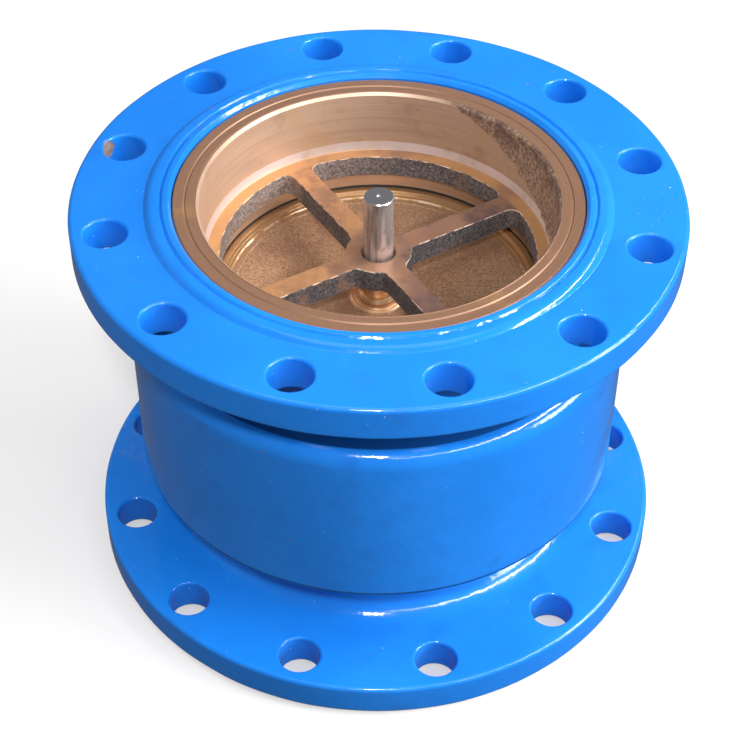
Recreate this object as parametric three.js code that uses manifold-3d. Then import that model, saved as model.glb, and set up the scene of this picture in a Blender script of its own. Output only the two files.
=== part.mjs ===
// Double-flanged, centre-guided, spring-loaded silent check valve, nominal bore 250 mm.
// Millimetres, +Z up. The origin is the centre of the outlet raised face; flow enters at the
// top flange, pushes the disc down against its spring and leaves through the bottom flange.
import * as THREE from 'three';
import { mergeVertices } from 'three/addons/utils/BufferGeometryUtils.js';
import Module from 'manifold-3d';

const wasm = await Module();
wasm.setup();

// ---- Driving dimensions -------------------------------------------------------------------
// Body: two drilled flanges, two necks and a barrel between them.
const FACE_TO_FACE = 288;
const FLANGE_R = 200;
const FLANGE_THICKNESS = 24;
const FLANGE_EDGE = 1.5;
const RAISED_R = 150;
const RAISED_HEIGHT = 3;
const BOLT_CIRCLE_R = 177.5;
const BOLT_HOLE_R = 14;
const BOLT_COUNT = 12;
const BOLT_PHASE_DEG = 15;
const GROOVE_R = 141.2;
const GROOVE_HALF_WIDTH = 1.6;
const GROOVE_DEPTH = 1.2;
const INLET_NECK_R = 146;
const INLET_FILLET = 8;
const OUTLET_NECK_R = 130;
const OUTLET_FILLET = 20;
const BARREL_R = 167.5;
const BARREL_WALL = 13;
const BARREL_TOP_Z = 212;
const BARREL_SHOULDER = 18;
const BARREL_LIP_Z = 86.4;
const NECK_BORE_R = 126;
const POCKET_R = 134.2;
const SEAT_LEDGE_Z = 222;
const GUIDE_LEDGE_Z = 15.3;
const OUTLET_BORE_R = 117;
const OUTLET_BORE_TOP_Z = 78;

// Seat ring with the four-arm spider that guides the stem's upper end.
const SEAT_R = 133.7;
const SEAT_FACE_Z = FACE_TO_FACE - RAISED_HEIGHT;
const SEAT_MOUTH_R = 118;
const SEAT_BORE_TOP_R = 116.6;
const SEAT_BORE_LOW_R = 115.4;
const SEAT_BORE_FOOT_R = 113.8;
const SEAT_FOOT_HEIGHT = 6;
const SEAT_NOSE_R = 124;
const SEAT_NOSE_Z = 211;
const SEAT_WINDOW_R = 105.5;
const SPIDER_TOP_Z = 239;
const SPIDER_DEPTH = 15;
const SPIDER_ARM_WIDTH = 15;
const SPIDER_ARM_COUNT = 4;
const SPIDER_ANGLE_DEG = 33.5;
const SPIDER_HUB_R = 22;
const SPIDER_HUB_DEPTH = 16.6;
const SPIDER_HUB_BORE_R = 11.3;
const SEAL_GROOVE_TOP_Z = 258;
const SEAL_GROOVE_BOTTOM_Z = 252.5;
const SEAL_GROOVE_DEPTH = 3.4;
const O_RING_SECTION_R = 2.2;
const SET_SCREW_R = 5;
const SET_SCREW_Z = 234;
const SET_SCREW_COUNT = 4;
const SET_SCREW_ENTRY = 3;
const SET_SCREW_SOCKET = 5.2;

// Disc, its rubber ring and the stem that carries them.
const DISC_R = 121;
const DISC_RIM_Z = 209;
const DISC_UNDERSIDE_Z = 188;
const DISC_BOSS_R = 25;
const DISC_BOSS_Z = 176;
const SEAL_INNER_R = 110.5;
const SEAL_OUTER_R = 118;
const SEAL_DEPTH = 6;
const COUNTERBORE_DEPTH = 9;
const STEM_R = 10;
const STEM_TOP_Z = SEAT_FACE_Z;
const STEM_CHAMFER = 1.2;
const STEM_COLLAR_R = 12.5;
const STEM_COLLAR_HEIGHT = 3;
const STEM_SHOULDER_Z = 146;
const STEM_SPIGOT_R = 8;
const STEM_END_Z = 48;
const NUT_ACROSS_FLATS = 30;
const NUT_THICKNESS = 12;
const JAM_NUT_THICKNESS = 9;
const WASHER_R = 18;
const WASHER_THICKNESS = 3;

// Outlet guide: ring, four arms, hub with the spring's seat, bushing and screws.
const GUIDE_RING_TOP_Z = 15;
const GUIDE_RING_BOTTOM_Z = 1;
const GUIDE_ARM_COUNT = 4;
const GUIDE_ARM_WIDTH = 12;
const GUIDE_ARM_TOP_Z = 34;
const GUIDE_HUB_R = 22;
const GUIDE_HUB_BOTTOM_Z = 8;
const GUIDE_HUB_NECK_Z = 44;
const GUIDE_SEAT_R = 37;
const GUIDE_SEAT_Z = 60;
const GUIDE_SEAT_RIM = 5;
const GUIDE_SPIGOT_R = 25.5;
const GUIDE_TOP_Z = 70;
const GUIDE_CHAMFER = 2;
const GUIDE_BORE_R = STEM_SPIGOT_R + 2;
const BUSHING_R = 13;
const BUSHING_BOTTOM_Z = 22;
const GUIDE_SCREW_CIRCLE_R = 125.6;
const GUIDE_SCREW_PHASE_DEG = 45;
const GUIDE_SCREW_R = 4;
const GUIDE_SCREW_TOP_Z = 32;
const GUIDE_SCREW_COUNT = 4;
const GUIDE_HEAD_R = 6.5;
const GUIDE_HEAD_HEIGHT = 6;
const GUIDE_HEAD_SOCKET = 6;
const GUIDE_HEAD_SOCKET_DEPTH = 3.5;
const GUIDE_WASHER_THICKNESS = 1.2;

const SPRING_MEAN_R = 31;
const SPRING_WIRE = 5;
const SPRING_TURNS = 8.5;
const SPRING_CUP_THICKNESS = 2.5;

const GAP = 0.3;
const OVERRUN = 5;
const SEGMENTS = 40;
const STEM_SEGMENTS = 20;
const SMALL_SEGMENTS = 12;

// Heights that follow from the ones above.
const WASHER_TOP_Z = DISC_BOSS_Z - GAP;
const NUT_TOP_Z = WASHER_TOP_Z - WASHER_THICKNESS - GAP;
const JAM_NUT_TOP_Z = NUT_TOP_Z - NUT_THICKNESS - GAP;
const SPRING_BOTTOM_Z = GUIDE_SEAT_Z + GAP;
const SPRING_CUP_TOP_Z = DISC_UNDERSIDE_Z - GAP;
const SPRING_TOP_Z = SPRING_CUP_TOP_Z - SPRING_CUP_THICKNESS - GAP;
const GUIDE_HEAD_BOTTOM_Z = GUIDE_RING_BOTTOM_Z + GAP;
const GUIDE_HEAD_TOP_Z = GUIDE_HEAD_BOTTOM_Z + GUIDE_HEAD_HEIGHT;
const GUIDE_WASHER_BOTTOM_Z = GUIDE_HEAD_TOP_Z + GAP;
const GUIDE_WASHER_TOP_Z = GUIDE_WASHER_BOTTOM_Z + GUIDE_WASHER_THICKNESS;

const radians = THREE.MathUtils.degToRad;

// ---- Solid helpers ------------------------------------------------------------------------
function toSolid(geometry) {
  const bare = geometry.clone();
  bare.deleteAttribute('normal');
  bare.deleteAttribute('uv');
  const merged = mergeVertices(bare, 1e-4);
  const index = merged.index.array;
  const triangles = [];
  for (let i = 0; i < index.length; i += 3) {
    const [a, b, c] = [index[i], index[i + 1], index[i + 2]];
    if (a !== b && b !== c && c !== a) {
      triangles.push(a, b, c);
    }
  }
  const mesh = new wasm.Mesh({
    numProp: 3,
    vertProperties: new Float32Array(merged.attributes.position.array),
    triVerts: new Uint32Array(triangles),
  });
  return new wasm.Manifold(mesh);
}

function toGeometry(solid) {
  const mesh = solid.getMesh();
  const geometry = new THREE.BufferGeometry();
  geometry.setAttribute('position', new THREE.BufferAttribute(mesh.vertProperties, 3));
  geometry.setIndex(new THREE.BufferAttribute(mesh.triVerts, 1));
  geometry.computeVertexNormals();
  return geometry;
}

// A profile runs counter-clockwise with the radius to the right. It closes on itself, or it
// starts and ends on the axis.
function revolve(profile, segments = SEGMENTS) {
  const onAxis = profile[0][0] === 0;
  const loop = onAxis ? profile : [...profile, profile[0]];
  const points = loop.map(([radius, z]) => new THREE.Vector2(radius, z));
  const geometry = new THREE.LatheGeometry(points, segments);
  geometry.rotateX(Math.PI / 2);
  return toSolid(geometry);
}

function arc(centreR, centreZ, radius, startDeg, endDeg, steps = 3) {
  const points = [];
  for (let i = 0; i <= steps; i++) {
    const angle = radians(startDeg + ((endDeg - startDeg) * i) / steps);
    points.push([centreR + radius * Math.cos(angle), centreZ + radius * Math.sin(angle)]);
  }
  return points;
}

function cylinder(radius, bottomZ, topZ, segments = SEGMENTS) {
  const geometry = new THREE.CylinderGeometry(radius, radius, topZ - bottomZ, segments);
  geometry.rotateX(Math.PI / 2);
  geometry.translate(0, 0, (topZ + bottomZ) / 2);
  return toSolid(geometry);
}

function tube(innerR, outerR, bottomZ, topZ, segments = SEGMENTS) {
  const profile = [[innerR, bottomZ], [outerR, bottomZ], [outerR, topZ], [innerR, topZ]];
  return revolve(profile, segments);
}

function radialBar(startR, endR, width, bottomZ, topZ, angleDeg) {
  const geometry = new THREE.BoxGeometry(endR - startR, width, topZ - bottomZ);
  geometry.translate((startR + endR) / 2, 0, (bottomZ + topZ) / 2);
  geometry.rotateZ(radians(angleDeg));
  return toSolid(geometry);
}

// A cylinder whose axis runs outwards from the valve's axis at the given height.
function radialPin(radius, startR, endR, z, angleDeg, segments = SMALL_SEGMENTS) {
  const geometry = new THREE.CylinderGeometry(radius, radius, endR - startR, segments);
  geometry.rotateZ(-Math.PI / 2);
  geometry.translate((startR + endR) / 2, 0, z);
  geometry.rotateZ(radians(angleDeg));
  return toSolid(geometry);
}

function hexCornerR(acrossFlats) {
  return acrossFlats / 2 / Math.cos(Math.PI / 6);
}

function hexPrism(acrossFlats, bottomZ, topZ) {
  return cylinder(hexCornerR(acrossFlats), bottomZ, topZ, 6);
}

function polar(radius, angleDeg) {
  return [radius * Math.cos(radians(angleDeg)), radius * Math.sin(radians(angleDeg))];
}

function aroundAxis(count, phaseDeg) {
  return Array.from({ length: count }, (_, i) => phaseDeg + (360 / count) * i);
}

const setScrewAngles = aroundAxis(SET_SCREW_COUNT, 0);
const guideScrewAngles = aroundAxis(GUIDE_SCREW_COUNT, GUIDE_SCREW_PHASE_DEG);

// ---- Materials ----------------------------------------------------------------------------
function finish(color, roughness, metalness) {
  return () => new THREE.MeshStandardMaterial({ color, roughness, metalness });
}

const bluePaint = finish(0x1f7fe0, 0.3, 0.0);
const bronze = finish(0xa5714c, 0.45, 0.9);
const stainless = finish(0xb4b2ae, 0.25, 1.0);
const springSteel = finish(0x9a9a98, 0.35, 1.0);
const zincSteel = finish(0xb9bcc0, 0.35, 1.0);
const rubber = finish(0x141414, 0.8, 0.0);

// ---- Body ---------------------------------------------------------------------------------
// The raised face from its rim to the pocket; inward is the direction into the metal, +1 or -1.
function faceWithGroove(faceZ, inward) {
  const mouthChamfer = 2;
  const rim = [
    [RAISED_R, faceZ],
    [GROOVE_R + GROOVE_HALF_WIDTH, faceZ],
    [GROOVE_R, faceZ + inward * GROOVE_DEPTH],
    [GROOVE_R - GROOVE_HALF_WIDTH, faceZ],
    [POCKET_R + mouthChamfer, faceZ],
    [POCKET_R, faceZ + inward * mouthChamfer],
  ];
  return inward < 0 ? rim : rim.reverse();
}

function bodyOutside() {
  const bottomPlateZ = RAISED_HEIGHT;
  const bottomBackZ = RAISED_HEIGHT + FLANGE_THICKNESS;
  const topPlateZ = FACE_TO_FACE - RAISED_HEIGHT;
  const topBackZ = topPlateZ - FLANGE_THICKNESS;
  const raisedDraft = 1;
  const lipFillet = 8;
  const lipRound = 4;
  const neckTopZ = BARREL_LIP_Z - 17;
  const shoulderFall = 3;
  const outletCorner = [OUTLET_NECK_R + OUTLET_FILLET, bottomBackZ + OUTLET_FILLET];
  const lipCorner = [OUTLET_NECK_R + lipFillet, neckTopZ];
  const lipEdge = [BARREL_R - lipRound, BARREL_LIP_Z + 1];
  const shoulder = [BARREL_R - BARREL_SHOULDER, BARREL_TOP_Z - BARREL_SHOULDER];
  const inletCorner = [INLET_NECK_R + INLET_FILLET, topBackZ - INLET_FILLET];
  return [
    [RAISED_R + raisedDraft, bottomPlateZ],
    [FLANGE_R - FLANGE_EDGE, bottomPlateZ],
    [FLANGE_R, bottomPlateZ + FLANGE_EDGE],
    [FLANGE_R, bottomBackZ - FLANGE_EDGE],
    [FLANGE_R - FLANGE_EDGE, bottomBackZ],
    ...arc(...outletCorner, OUTLET_FILLET, 270, 180),
    ...arc(...lipCorner, lipFillet, 180, 110, 1),
    ...arc(...lipEdge, lipRound, -75, 0, 2),
    ...arc(...shoulder, BARREL_SHOULDER, 0, 90),
    [INLET_NECK_R, BARREL_TOP_Z + shoulderFall],
    ...arc(...inletCorner, INLET_FILLET, 180, 90, 2),
    [FLANGE_R - FLANGE_EDGE, topBackZ],
    [FLANGE_R, topBackZ + FLANGE_EDGE],
    [FLANGE_R, topPlateZ - FLANGE_EDGE],
    [FLANGE_R - FLANGE_EDGE, topPlateZ],
    [RAISED_R + raisedDraft, topPlateZ],
  ];
}

function bodyInside() {
  const cavityR = BARREL_R - BARREL_WALL;
  const floorRound = 14;
  const ceilingRound = 16;
  const mouthChamfer = 8;
  const floorRise = 9;
  const floorFall = 6;
  const ceilingZ = BARREL_TOP_Z - BARREL_WALL - 1;
  const floorZ = BARREL_LIP_Z + floorRise;
  return [
    [POCKET_R, SEAT_LEDGE_Z],
    [NECK_BORE_R, SEAT_LEDGE_Z],
    [NECK_BORE_R, ceilingZ + mouthChamfer],
    [NECK_BORE_R + mouthChamfer, ceilingZ],
    ...arc(cavityR - ceilingRound, ceilingZ - ceilingRound, ceilingRound, 90, 0),
    ...arc(cavityR - floorRound, floorZ + floorRound, floorRound, 0, -90),
    [NECK_BORE_R + floorFall, BARREL_LIP_Z + floorFall],
    [OUTLET_BORE_R, OUTLET_BORE_TOP_Z],
    [OUTLET_BORE_R, GUIDE_LEDGE_Z],
    [POCKET_R, GUIDE_LEDGE_Z],
  ];
}

function valveBody() {
  const topBackZ = FACE_TO_FACE - RAISED_HEIGHT - FLANGE_THICKNESS;
  const bottomBackZ = RAISED_HEIGHT + FLANGE_THICKNESS;
  const drillOverrun = 13;
  let body = revolve([
    ...faceWithGroove(0, 1),
    ...bodyOutside(),
    ...faceWithGroove(FACE_TO_FACE, -1),
    ...bodyInside(),
  ]);
  for (const angle of aroundAxis(BOLT_COUNT, BOLT_PHASE_DEG)) {
    const [x, y] = polar(BOLT_CIRCLE_R, angle);
    const lowTopZ = bottomBackZ + drillOverrun;
    const highBottomZ = topBackZ - drillOverrun;
    const lower = cylinder(BOLT_HOLE_R, -OVERRUN, lowTopZ, SMALL_SEGMENTS);
    const upper = cylinder(BOLT_HOLE_R, highBottomZ, FACE_TO_FACE + OVERRUN, SMALL_SEGMENTS);
    body = body.subtract(lower.translate([x, y, 0]));
    body = body.subtract(upper.translate([x, y, 0]));
  }
  for (const angle of setScrewAngles) {
    const tapped = radialPin(SET_SCREW_R + GAP, POCKET_R - 2, BARREL_R, SET_SCREW_Z, angle);
    body = body.subtract(tapped);
  }
  for (const angle of guideScrewAngles) {
    const [x, y] = polar(GUIDE_SCREW_CIRCLE_R, angle);
    const startZ = GUIDE_LEDGE_Z - OVERRUN;
    const endZ = GUIDE_SCREW_TOP_Z + 2;
    const tapped = cylinder(GUIDE_SCREW_R + GAP, startZ, endZ, SMALL_SEGMENTS);
    body = body.subtract(tapped.translate([x, y, 0]));
  }
  return body;
}

// ---- Inlet end: seat ring with its guide spider -------------------------------------------
function seatProfile() {
  const grooveR = SEAT_R - SEAL_GROOVE_DEPTH;
  const shoulderZ = SEAT_LEDGE_Z + GAP;
  const rimChamfer = 0.8;
  const mouthDepth = 1.6;
  const coneStep = 1.5;
  const coneTopZ = SPIDER_TOP_Z - SPIDER_DEPTH;
  return [
    [SEAT_NOSE_R - 1, SEAT_NOSE_Z],
    [SEAT_NOSE_R, SEAT_NOSE_Z + 1],
    [SEAT_NOSE_R, shoulderZ],
    [SEAT_R, shoulderZ],
    [SEAT_R, SEAL_GROOVE_BOTTOM_Z],
    [grooveR, SEAL_GROOVE_BOTTOM_Z],
    [grooveR, SEAL_GROOVE_TOP_Z],
    [SEAT_R, SEAL_GROOVE_TOP_Z],
    [SEAT_R, SEAT_FACE_Z - rimChamfer],
    [SEAT_R - rimChamfer, SEAT_FACE_Z],
    [SEAT_MOUTH_R, SEAT_FACE_Z],
    [SEAT_BORE_TOP_R, SEAT_FACE_Z - mouthDepth],
    [SEAT_BORE_LOW_R, SPIDER_TOP_Z + SEAT_FOOT_HEIGHT],
    [SEAT_BORE_FOOT_R, SPIDER_TOP_Z],
    [SEAT_WINDOW_R, SPIDER_TOP_Z],
    [SEAT_WINDOW_R, coneTopZ],
    [SEAT_WINDOW_R + coneStep, coneTopZ - coneStep / 3],
    [SEAL_INNER_R - coneStep / 3, SEAT_NOSE_Z],
  ];
}

function seatRing() {
  const hubBottom = SPIDER_TOP_Z - SPIDER_HUB_DEPTH;
  const armBottom = SPIDER_TOP_Z - SPIDER_DEPTH;
  const armStart = SPIDER_HUB_BORE_R + 4;
  const armEnd = SEAT_WINDOW_R + 4;
  let ring = revolve(seatProfile());
  ring = ring.add(cylinder(SPIDER_HUB_R, hubBottom, SPIDER_TOP_Z));
  for (const angle of aroundAxis(SPIDER_ARM_COUNT, SPIDER_ANGLE_DEG)) {
    ring = ring.add(radialBar(armStart, armEnd, SPIDER_ARM_WIDTH, armBottom, SPIDER_TOP_Z, angle));
  }
  ring = ring.subtract(cylinder(SPIDER_HUB_BORE_R, hubBottom - OVERRUN, SPIDER_TOP_Z + OVERRUN));
  for (const angle of setScrewAngles) {
    const socketR = SEAT_R - SET_SCREW_ENTRY;
    ring = ring.subtract(radialPin(SET_SCREW_R + GAP, socketR, SEAT_R + OVERRUN, SET_SCREW_Z, angle));
  }
  return ring;
}

// The ring's section is a circle flattened by the groove's floor, its sides and the pocket.
function seatORing() {
  const sectionSides = 8;
  const innerR = SEAT_R - SEAL_GROOVE_DEPTH + GAP;
  const outerR = POCKET_R - GAP;
  const midZ = (SEAL_GROOVE_BOTTOM_Z + SEAL_GROOVE_TOP_Z) / 2;
  const midR = outerR - (O_RING_SECTION_R - SEAL_GROOVE_DEPTH / 4);
  const geometry = new THREE.TorusGeometry(midR, O_RING_SECTION_R, sectionSides, SEGMENTS);
  geometry.translate(0, 0, midZ);
  const room = tube(innerR, outerR, SEAL_GROOVE_BOTTOM_Z + GAP, SEAL_GROOVE_TOP_Z - GAP);
  return toSolid(geometry).intersect(room);
}

function setScrew(angle) {
  const socketDepth = 5;
  const outerEnd = INLET_NECK_R - 1;
  const innerEnd = SEAT_R - SET_SCREW_ENTRY + GAP;
  const socketR = hexCornerR(SET_SCREW_SOCKET);
  const screw = radialPin(SET_SCREW_R, innerEnd, outerEnd, SET_SCREW_Z, angle);
  const socketEnd = outerEnd + OVERRUN;
  return screw.subtract(radialPin(socketR, outerEnd - socketDepth, socketEnd, SET_SCREW_Z, angle, 6));
}

// ---- Disc and stem ------------------------------------------------------------------------
function discProfile() {
  const boreR = STEM_R + GAP;
  const sealFloor = DISC_RIM_Z - SEAL_DEPTH;
  const counterboreZ = DISC_RIM_Z - COUNTERBORE_DEPTH;
  const rimChamfer = 1.5;
  const rimHeight = 9;
  const spotFaceR = 48;
  const dishTopR = 106;
  const dishFootR = 102;
  const dishFootZ = DISC_RIM_Z - 3.5;
  const dishLowR = 19;
  const dishLowZ = DISC_RIM_Z - 8;
  const bossOuterR = 17.5;
  const bossInnerR = 15;
  const bossZ = DISC_RIM_Z - 7;
  return [
    [boreR, DISC_BOSS_Z],
    [DISC_BOSS_R, DISC_BOSS_Z],
    [DISC_BOSS_R, DISC_UNDERSIDE_Z],
    [spotFaceR, DISC_UNDERSIDE_Z],
    [DISC_R - 4, DISC_UNDERSIDE_Z + 8],
    [DISC_R, DISC_RIM_Z - rimHeight],
    [DISC_R, DISC_RIM_Z - rimChamfer],
    [DISC_R - rimChamfer, DISC_RIM_Z],
    [SEAL_OUTER_R, DISC_RIM_Z],
    [SEAL_OUTER_R, sealFloor],
    [SEAL_INNER_R, sealFloor],
    [SEAL_INNER_R, DISC_RIM_Z],
    [dishTopR, DISC_RIM_Z],
    [dishFootR, dishFootZ],
    [dishLowR, dishLowZ],
    [bossOuterR, bossZ],
    [bossInnerR, bossZ],
    [bossInnerR - 0.4, counterboreZ],
    [boreR, counterboreZ],
  ];
}

function discSealRing() {
  const bottom = DISC_RIM_Z - SEAL_DEPTH + GAP;
  return tube(SEAL_INNER_R + GAP, SEAL_OUTER_R - GAP, bottom, SEAT_NOSE_Z - GAP);
}

function stem() {
  const collarZ = DISC_RIM_Z - COUNTERBORE_DEPTH + GAP;
  const collarTopZ = collarZ + STEM_COLLAR_HEIGHT;
  const centreDrillR = 1.6;
  const centreDrillDepth = 1.8;
  const spigotChamfer = 1.5;
  return revolve([
    [0, STEM_END_Z],
    [STEM_SPIGOT_R - spigotChamfer, STEM_END_Z],
    [STEM_SPIGOT_R, STEM_END_Z + spigotChamfer],
    [STEM_SPIGOT_R, STEM_SHOULDER_Z],
    [STEM_R - STEM_CHAMFER, STEM_SHOULDER_Z],
    [STEM_R, STEM_SHOULDER_Z + STEM_CHAMFER],
    [STEM_R, collarZ],
    [STEM_COLLAR_R, collarZ],
    [STEM_COLLAR_R, collarTopZ],
    [STEM_R, collarTopZ + 1],
    [STEM_R, STEM_TOP_Z - STEM_CHAMFER],
    [STEM_R - STEM_CHAMFER, STEM_TOP_Z],
    [centreDrillR, STEM_TOP_Z],
    [0, STEM_TOP_Z - centreDrillDepth],
  ], STEM_SEGMENTS);
}

function stemNut(topZ, thickness) {
  const bottomZ = topZ - thickness;
  const bore = cylinder(STEM_R + GAP, bottomZ - OVERRUN, topZ + OVERRUN, STEM_SEGMENTS);
  return hexPrism(NUT_ACROSS_FLATS, bottomZ, topZ).subtract(bore);
}

// ---- Spring -------------------------------------------------------------------------------
// A helix with one closed turn at each end. The wire starts and ends half a wire less 1 mm
// outside the free height, so that grinding leaves flat ends.
class SpringPath extends THREE.Curve {
  constructor(bottomZ, topZ) {
    super();
    this.low = bottomZ + SPRING_WIRE / 2 - 1;
    this.high = topZ - SPRING_WIRE / 2 + 1;
  }

  getPoint(t, target = new THREE.Vector3()) {
    const closedPitch = SPRING_WIRE * 1.12;
    const turn = t * SPRING_TURNS;
    const openTurns = SPRING_TURNS - 2;
    const free = this.high - this.low - 2 * closedPitch;
    const middle = THREE.MathUtils.clamp((turn - 1) / openTurns, 0, 1);
    const ends = Math.min(turn, 1) + Math.max(turn - 1 - openTurns, 0);
    const z = this.low + ends * closedPitch + middle * free;
    const angle = turn * 2 * Math.PI;
    return target.set(SPRING_MEAN_R * Math.cos(angle), SPRING_MEAN_R * Math.sin(angle), z);
  }
}

function spring() {
  const stepsPerTurn = 16;
  const wire = new THREE.Shape();
  wire.absarc(0, 0, SPRING_WIRE / 2, 0, 2 * Math.PI);
  const geometry = new THREE.ExtrudeGeometry(wire, {
    curveSegments: 3,
    steps: Math.round(SPRING_TURNS * stepsPerTurn),
    bevelEnabled: false,
    extrudePath: new SpringPath(SPRING_BOTTOM_Z, SPRING_TOP_Z),
  });
  const ground = cylinder(SPRING_MEAN_R + 2 * SPRING_WIRE, SPRING_BOTTOM_Z, SPRING_TOP_Z);
  return toSolid(geometry).intersect(ground);
}

function springCupWasher() {
  const bottomZ = SPRING_CUP_TOP_Z - SPRING_CUP_THICKNESS;
  return tube(DISC_BOSS_R + 1, GUIDE_SEAT_R, bottomZ, SPRING_CUP_TOP_Z);
}

// ---- Outlet end: guide spider, bushing and screws -----------------------------------------
function guideHub() {
  const socketR = BUSHING_R + GAP;
  return revolve([
    [GUIDE_BORE_R, GUIDE_HUB_BOTTOM_Z],
    [GUIDE_HUB_R - GUIDE_CHAMFER, GUIDE_HUB_BOTTOM_Z],
    [GUIDE_HUB_R, GUIDE_HUB_BOTTOM_Z + GUIDE_CHAMFER],
    [GUIDE_HUB_R, GUIDE_HUB_NECK_Z],
    [GUIDE_SEAT_R, GUIDE_SEAT_Z - GUIDE_SEAT_RIM],
    [GUIDE_SEAT_R, GUIDE_SEAT_Z],
    [GUIDE_SPIGOT_R, GUIDE_SEAT_Z],
    [GUIDE_SPIGOT_R, GUIDE_TOP_Z - GUIDE_CHAMFER],
    [GUIDE_SPIGOT_R - GUIDE_CHAMFER, GUIDE_TOP_Z],
    [socketR, GUIDE_TOP_Z],
    [socketR, BUSHING_BOTTOM_Z],
    [GUIDE_BORE_R, BUSHING_BOTTOM_Z],
  ]);
}

function guideArm(angle) {
  const rootR = GUIDE_HUB_R - 7;
  const tipR = OUTLET_BORE_R + 2;
  const crownR = GUIDE_HUB_R + 8;
  const outline = new THREE.Shape();
  outline.moveTo(rootR, GUIDE_HUB_BOTTOM_Z);
  outline.lineTo(tipR, GUIDE_RING_BOTTOM_Z + 2);
  outline.lineTo(tipR, GUIDE_RING_TOP_Z - 1);
  outline.lineTo(crownR, GUIDE_ARM_TOP_Z);
  outline.lineTo(rootR, GUIDE_ARM_TOP_Z);
  outline.closePath();
  const settings = { depth: GUIDE_ARM_WIDTH, bevelEnabled: false };
  const geometry = new THREE.ExtrudeGeometry(outline, settings);
  geometry.rotateX(Math.PI / 2);
  geometry.translate(0, GUIDE_ARM_WIDTH / 2, 0);
  geometry.rotateZ(radians(angle));
  return toSolid(geometry);
}

function outletGuide() {
  const pocketZ = GUIDE_WASHER_TOP_Z + GAP;
  let guide = tube(OUTLET_BORE_R, SEAT_R, GUIDE_RING_BOTTOM_Z, GUIDE_RING_TOP_Z);
  guide = guide.add(guideHub());
  for (const angle of aroundAxis(GUIDE_ARM_COUNT, 0)) {
    guide = guide.add(guideArm(angle));
  }
  guide = guide.subtract(cylinder(BUSHING_R + GAP, BUSHING_BOTTOM_Z, GUIDE_TOP_Z + OVERRUN));
  guide = guide.subtract(cylinder(GUIDE_BORE_R, -OVERRUN, GUIDE_TOP_Z));
  for (const angle of guideScrewAngles) {
    const [x, y] = polar(GUIDE_SCREW_CIRCLE_R, angle);
    const shank = cylinder(GUIDE_SCREW_R + GAP, -OVERRUN, GUIDE_RING_TOP_Z + OVERRUN, SMALL_SEGMENTS);
    const pocket = cylinder(GUIDE_HEAD_R + GAP, -OVERRUN, pocketZ, SMALL_SEGMENTS);
    guide = guide.subtract(shank.translate([x, y, 0]));
    guide = guide.subtract(pocket.translate([x, y, 0]));
  }
  return guide;
}

function guideScrew(angle) {
  const [x, y] = polar(GUIDE_SCREW_CIRCLE_R, angle);
  const socketTopZ = GUIDE_HEAD_BOTTOM_Z + GUIDE_HEAD_SOCKET_DEPTH;
  const socket = hexPrism(GUIDE_HEAD_SOCKET, GUIDE_HEAD_BOTTOM_Z - 1, socketTopZ);
  let screw = cylinder(GUIDE_HEAD_R, GUIDE_HEAD_BOTTOM_Z, GUIDE_HEAD_TOP_Z, SMALL_SEGMENTS);
  screw = screw.add(cylinder(GUIDE_SCREW_R, GUIDE_HEAD_TOP_Z - 1, GUIDE_SCREW_TOP_Z, SMALL_SEGMENTS));
  return screw.subtract(socket).translate([x, y, 0]);
}

function guideWasher(angle) {
  const [x, y] = polar(GUIDE_SCREW_CIRCLE_R, angle);
  const holeR = GUIDE_SCREW_R + GAP;
  const ring = tube(holeR, GUIDE_HEAD_R, GUIDE_WASHER_BOTTOM_Z, GUIDE_WASHER_TOP_Z, SMALL_SEGMENTS);
  return ring.translate([x, y, 0]);
}

function guideBushing() {
  return tube(STEM_SPIGOT_R + GAP, BUSHING_R, BUSHING_BOTTOM_Z + GAP, GUIDE_TOP_Z);
}

function stemWasher() {
  const bottomZ = WASHER_TOP_Z - WASHER_THICKNESS;
  return tube(STEM_R + GAP, WASHER_R, bottomZ, WASHER_TOP_Z, STEM_SEGMENTS);
}

// ---- Assembly -----------------------------------------------------------------------------
const valve = new THREE.Group();

function place(name, solid, material) {
  const mesh = new THREE.Mesh(toGeometry(solid), material());
  mesh.name = name;
  valve.add(mesh);
}

place('valve_body', valveBody(), bluePaint);
place('seat_ring', seatRing(), bronze);
place('seat_o_ring', seatORing(), rubber);
setScrewAngles.forEach((angle, i) => {
  place(`seat_set_screw_${i + 1}`, setScrew(angle), zincSteel);
});
place('outlet_guide', outletGuide(), bronze);
place('guide_bushing', guideBushing(), bronze);
guideScrewAngles.forEach((angle, i) => {
  place(`guide_screw_${i + 1}`, guideScrew(angle), stainless);
  place(`guide_screw_washer_${i + 1}`, guideWasher(angle), stainless);
});
place('spring', spring(), springSteel);
place('spring_cup_washer', springCupWasher(), stainless);
place('disc', revolve(discProfile()), bronze);
place('disc_seal_ring', discSealRing(), rubber);
place('stem', stem(), stainless);
place('stem_washer', stemWasher(), stainless);
place('stem_nut', stemNut(NUT_TOP_Z, NUT_THICKNESS), stainless);
place('stem_jam_nut', stemNut(JAM_NUT_TOP_Z, JAM_NUT_THICKNESS), stainless);

export default valve;
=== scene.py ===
# Looks of the double-flanged silent check valve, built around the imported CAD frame.
# Profiles are in millimetres, as (radius, height) in the row frame; meshes are in metres.
import math
from functools import reduce

import bmesh
import bpy
from mathutils import Matrix, Quaternion, Vector, noise


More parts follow.
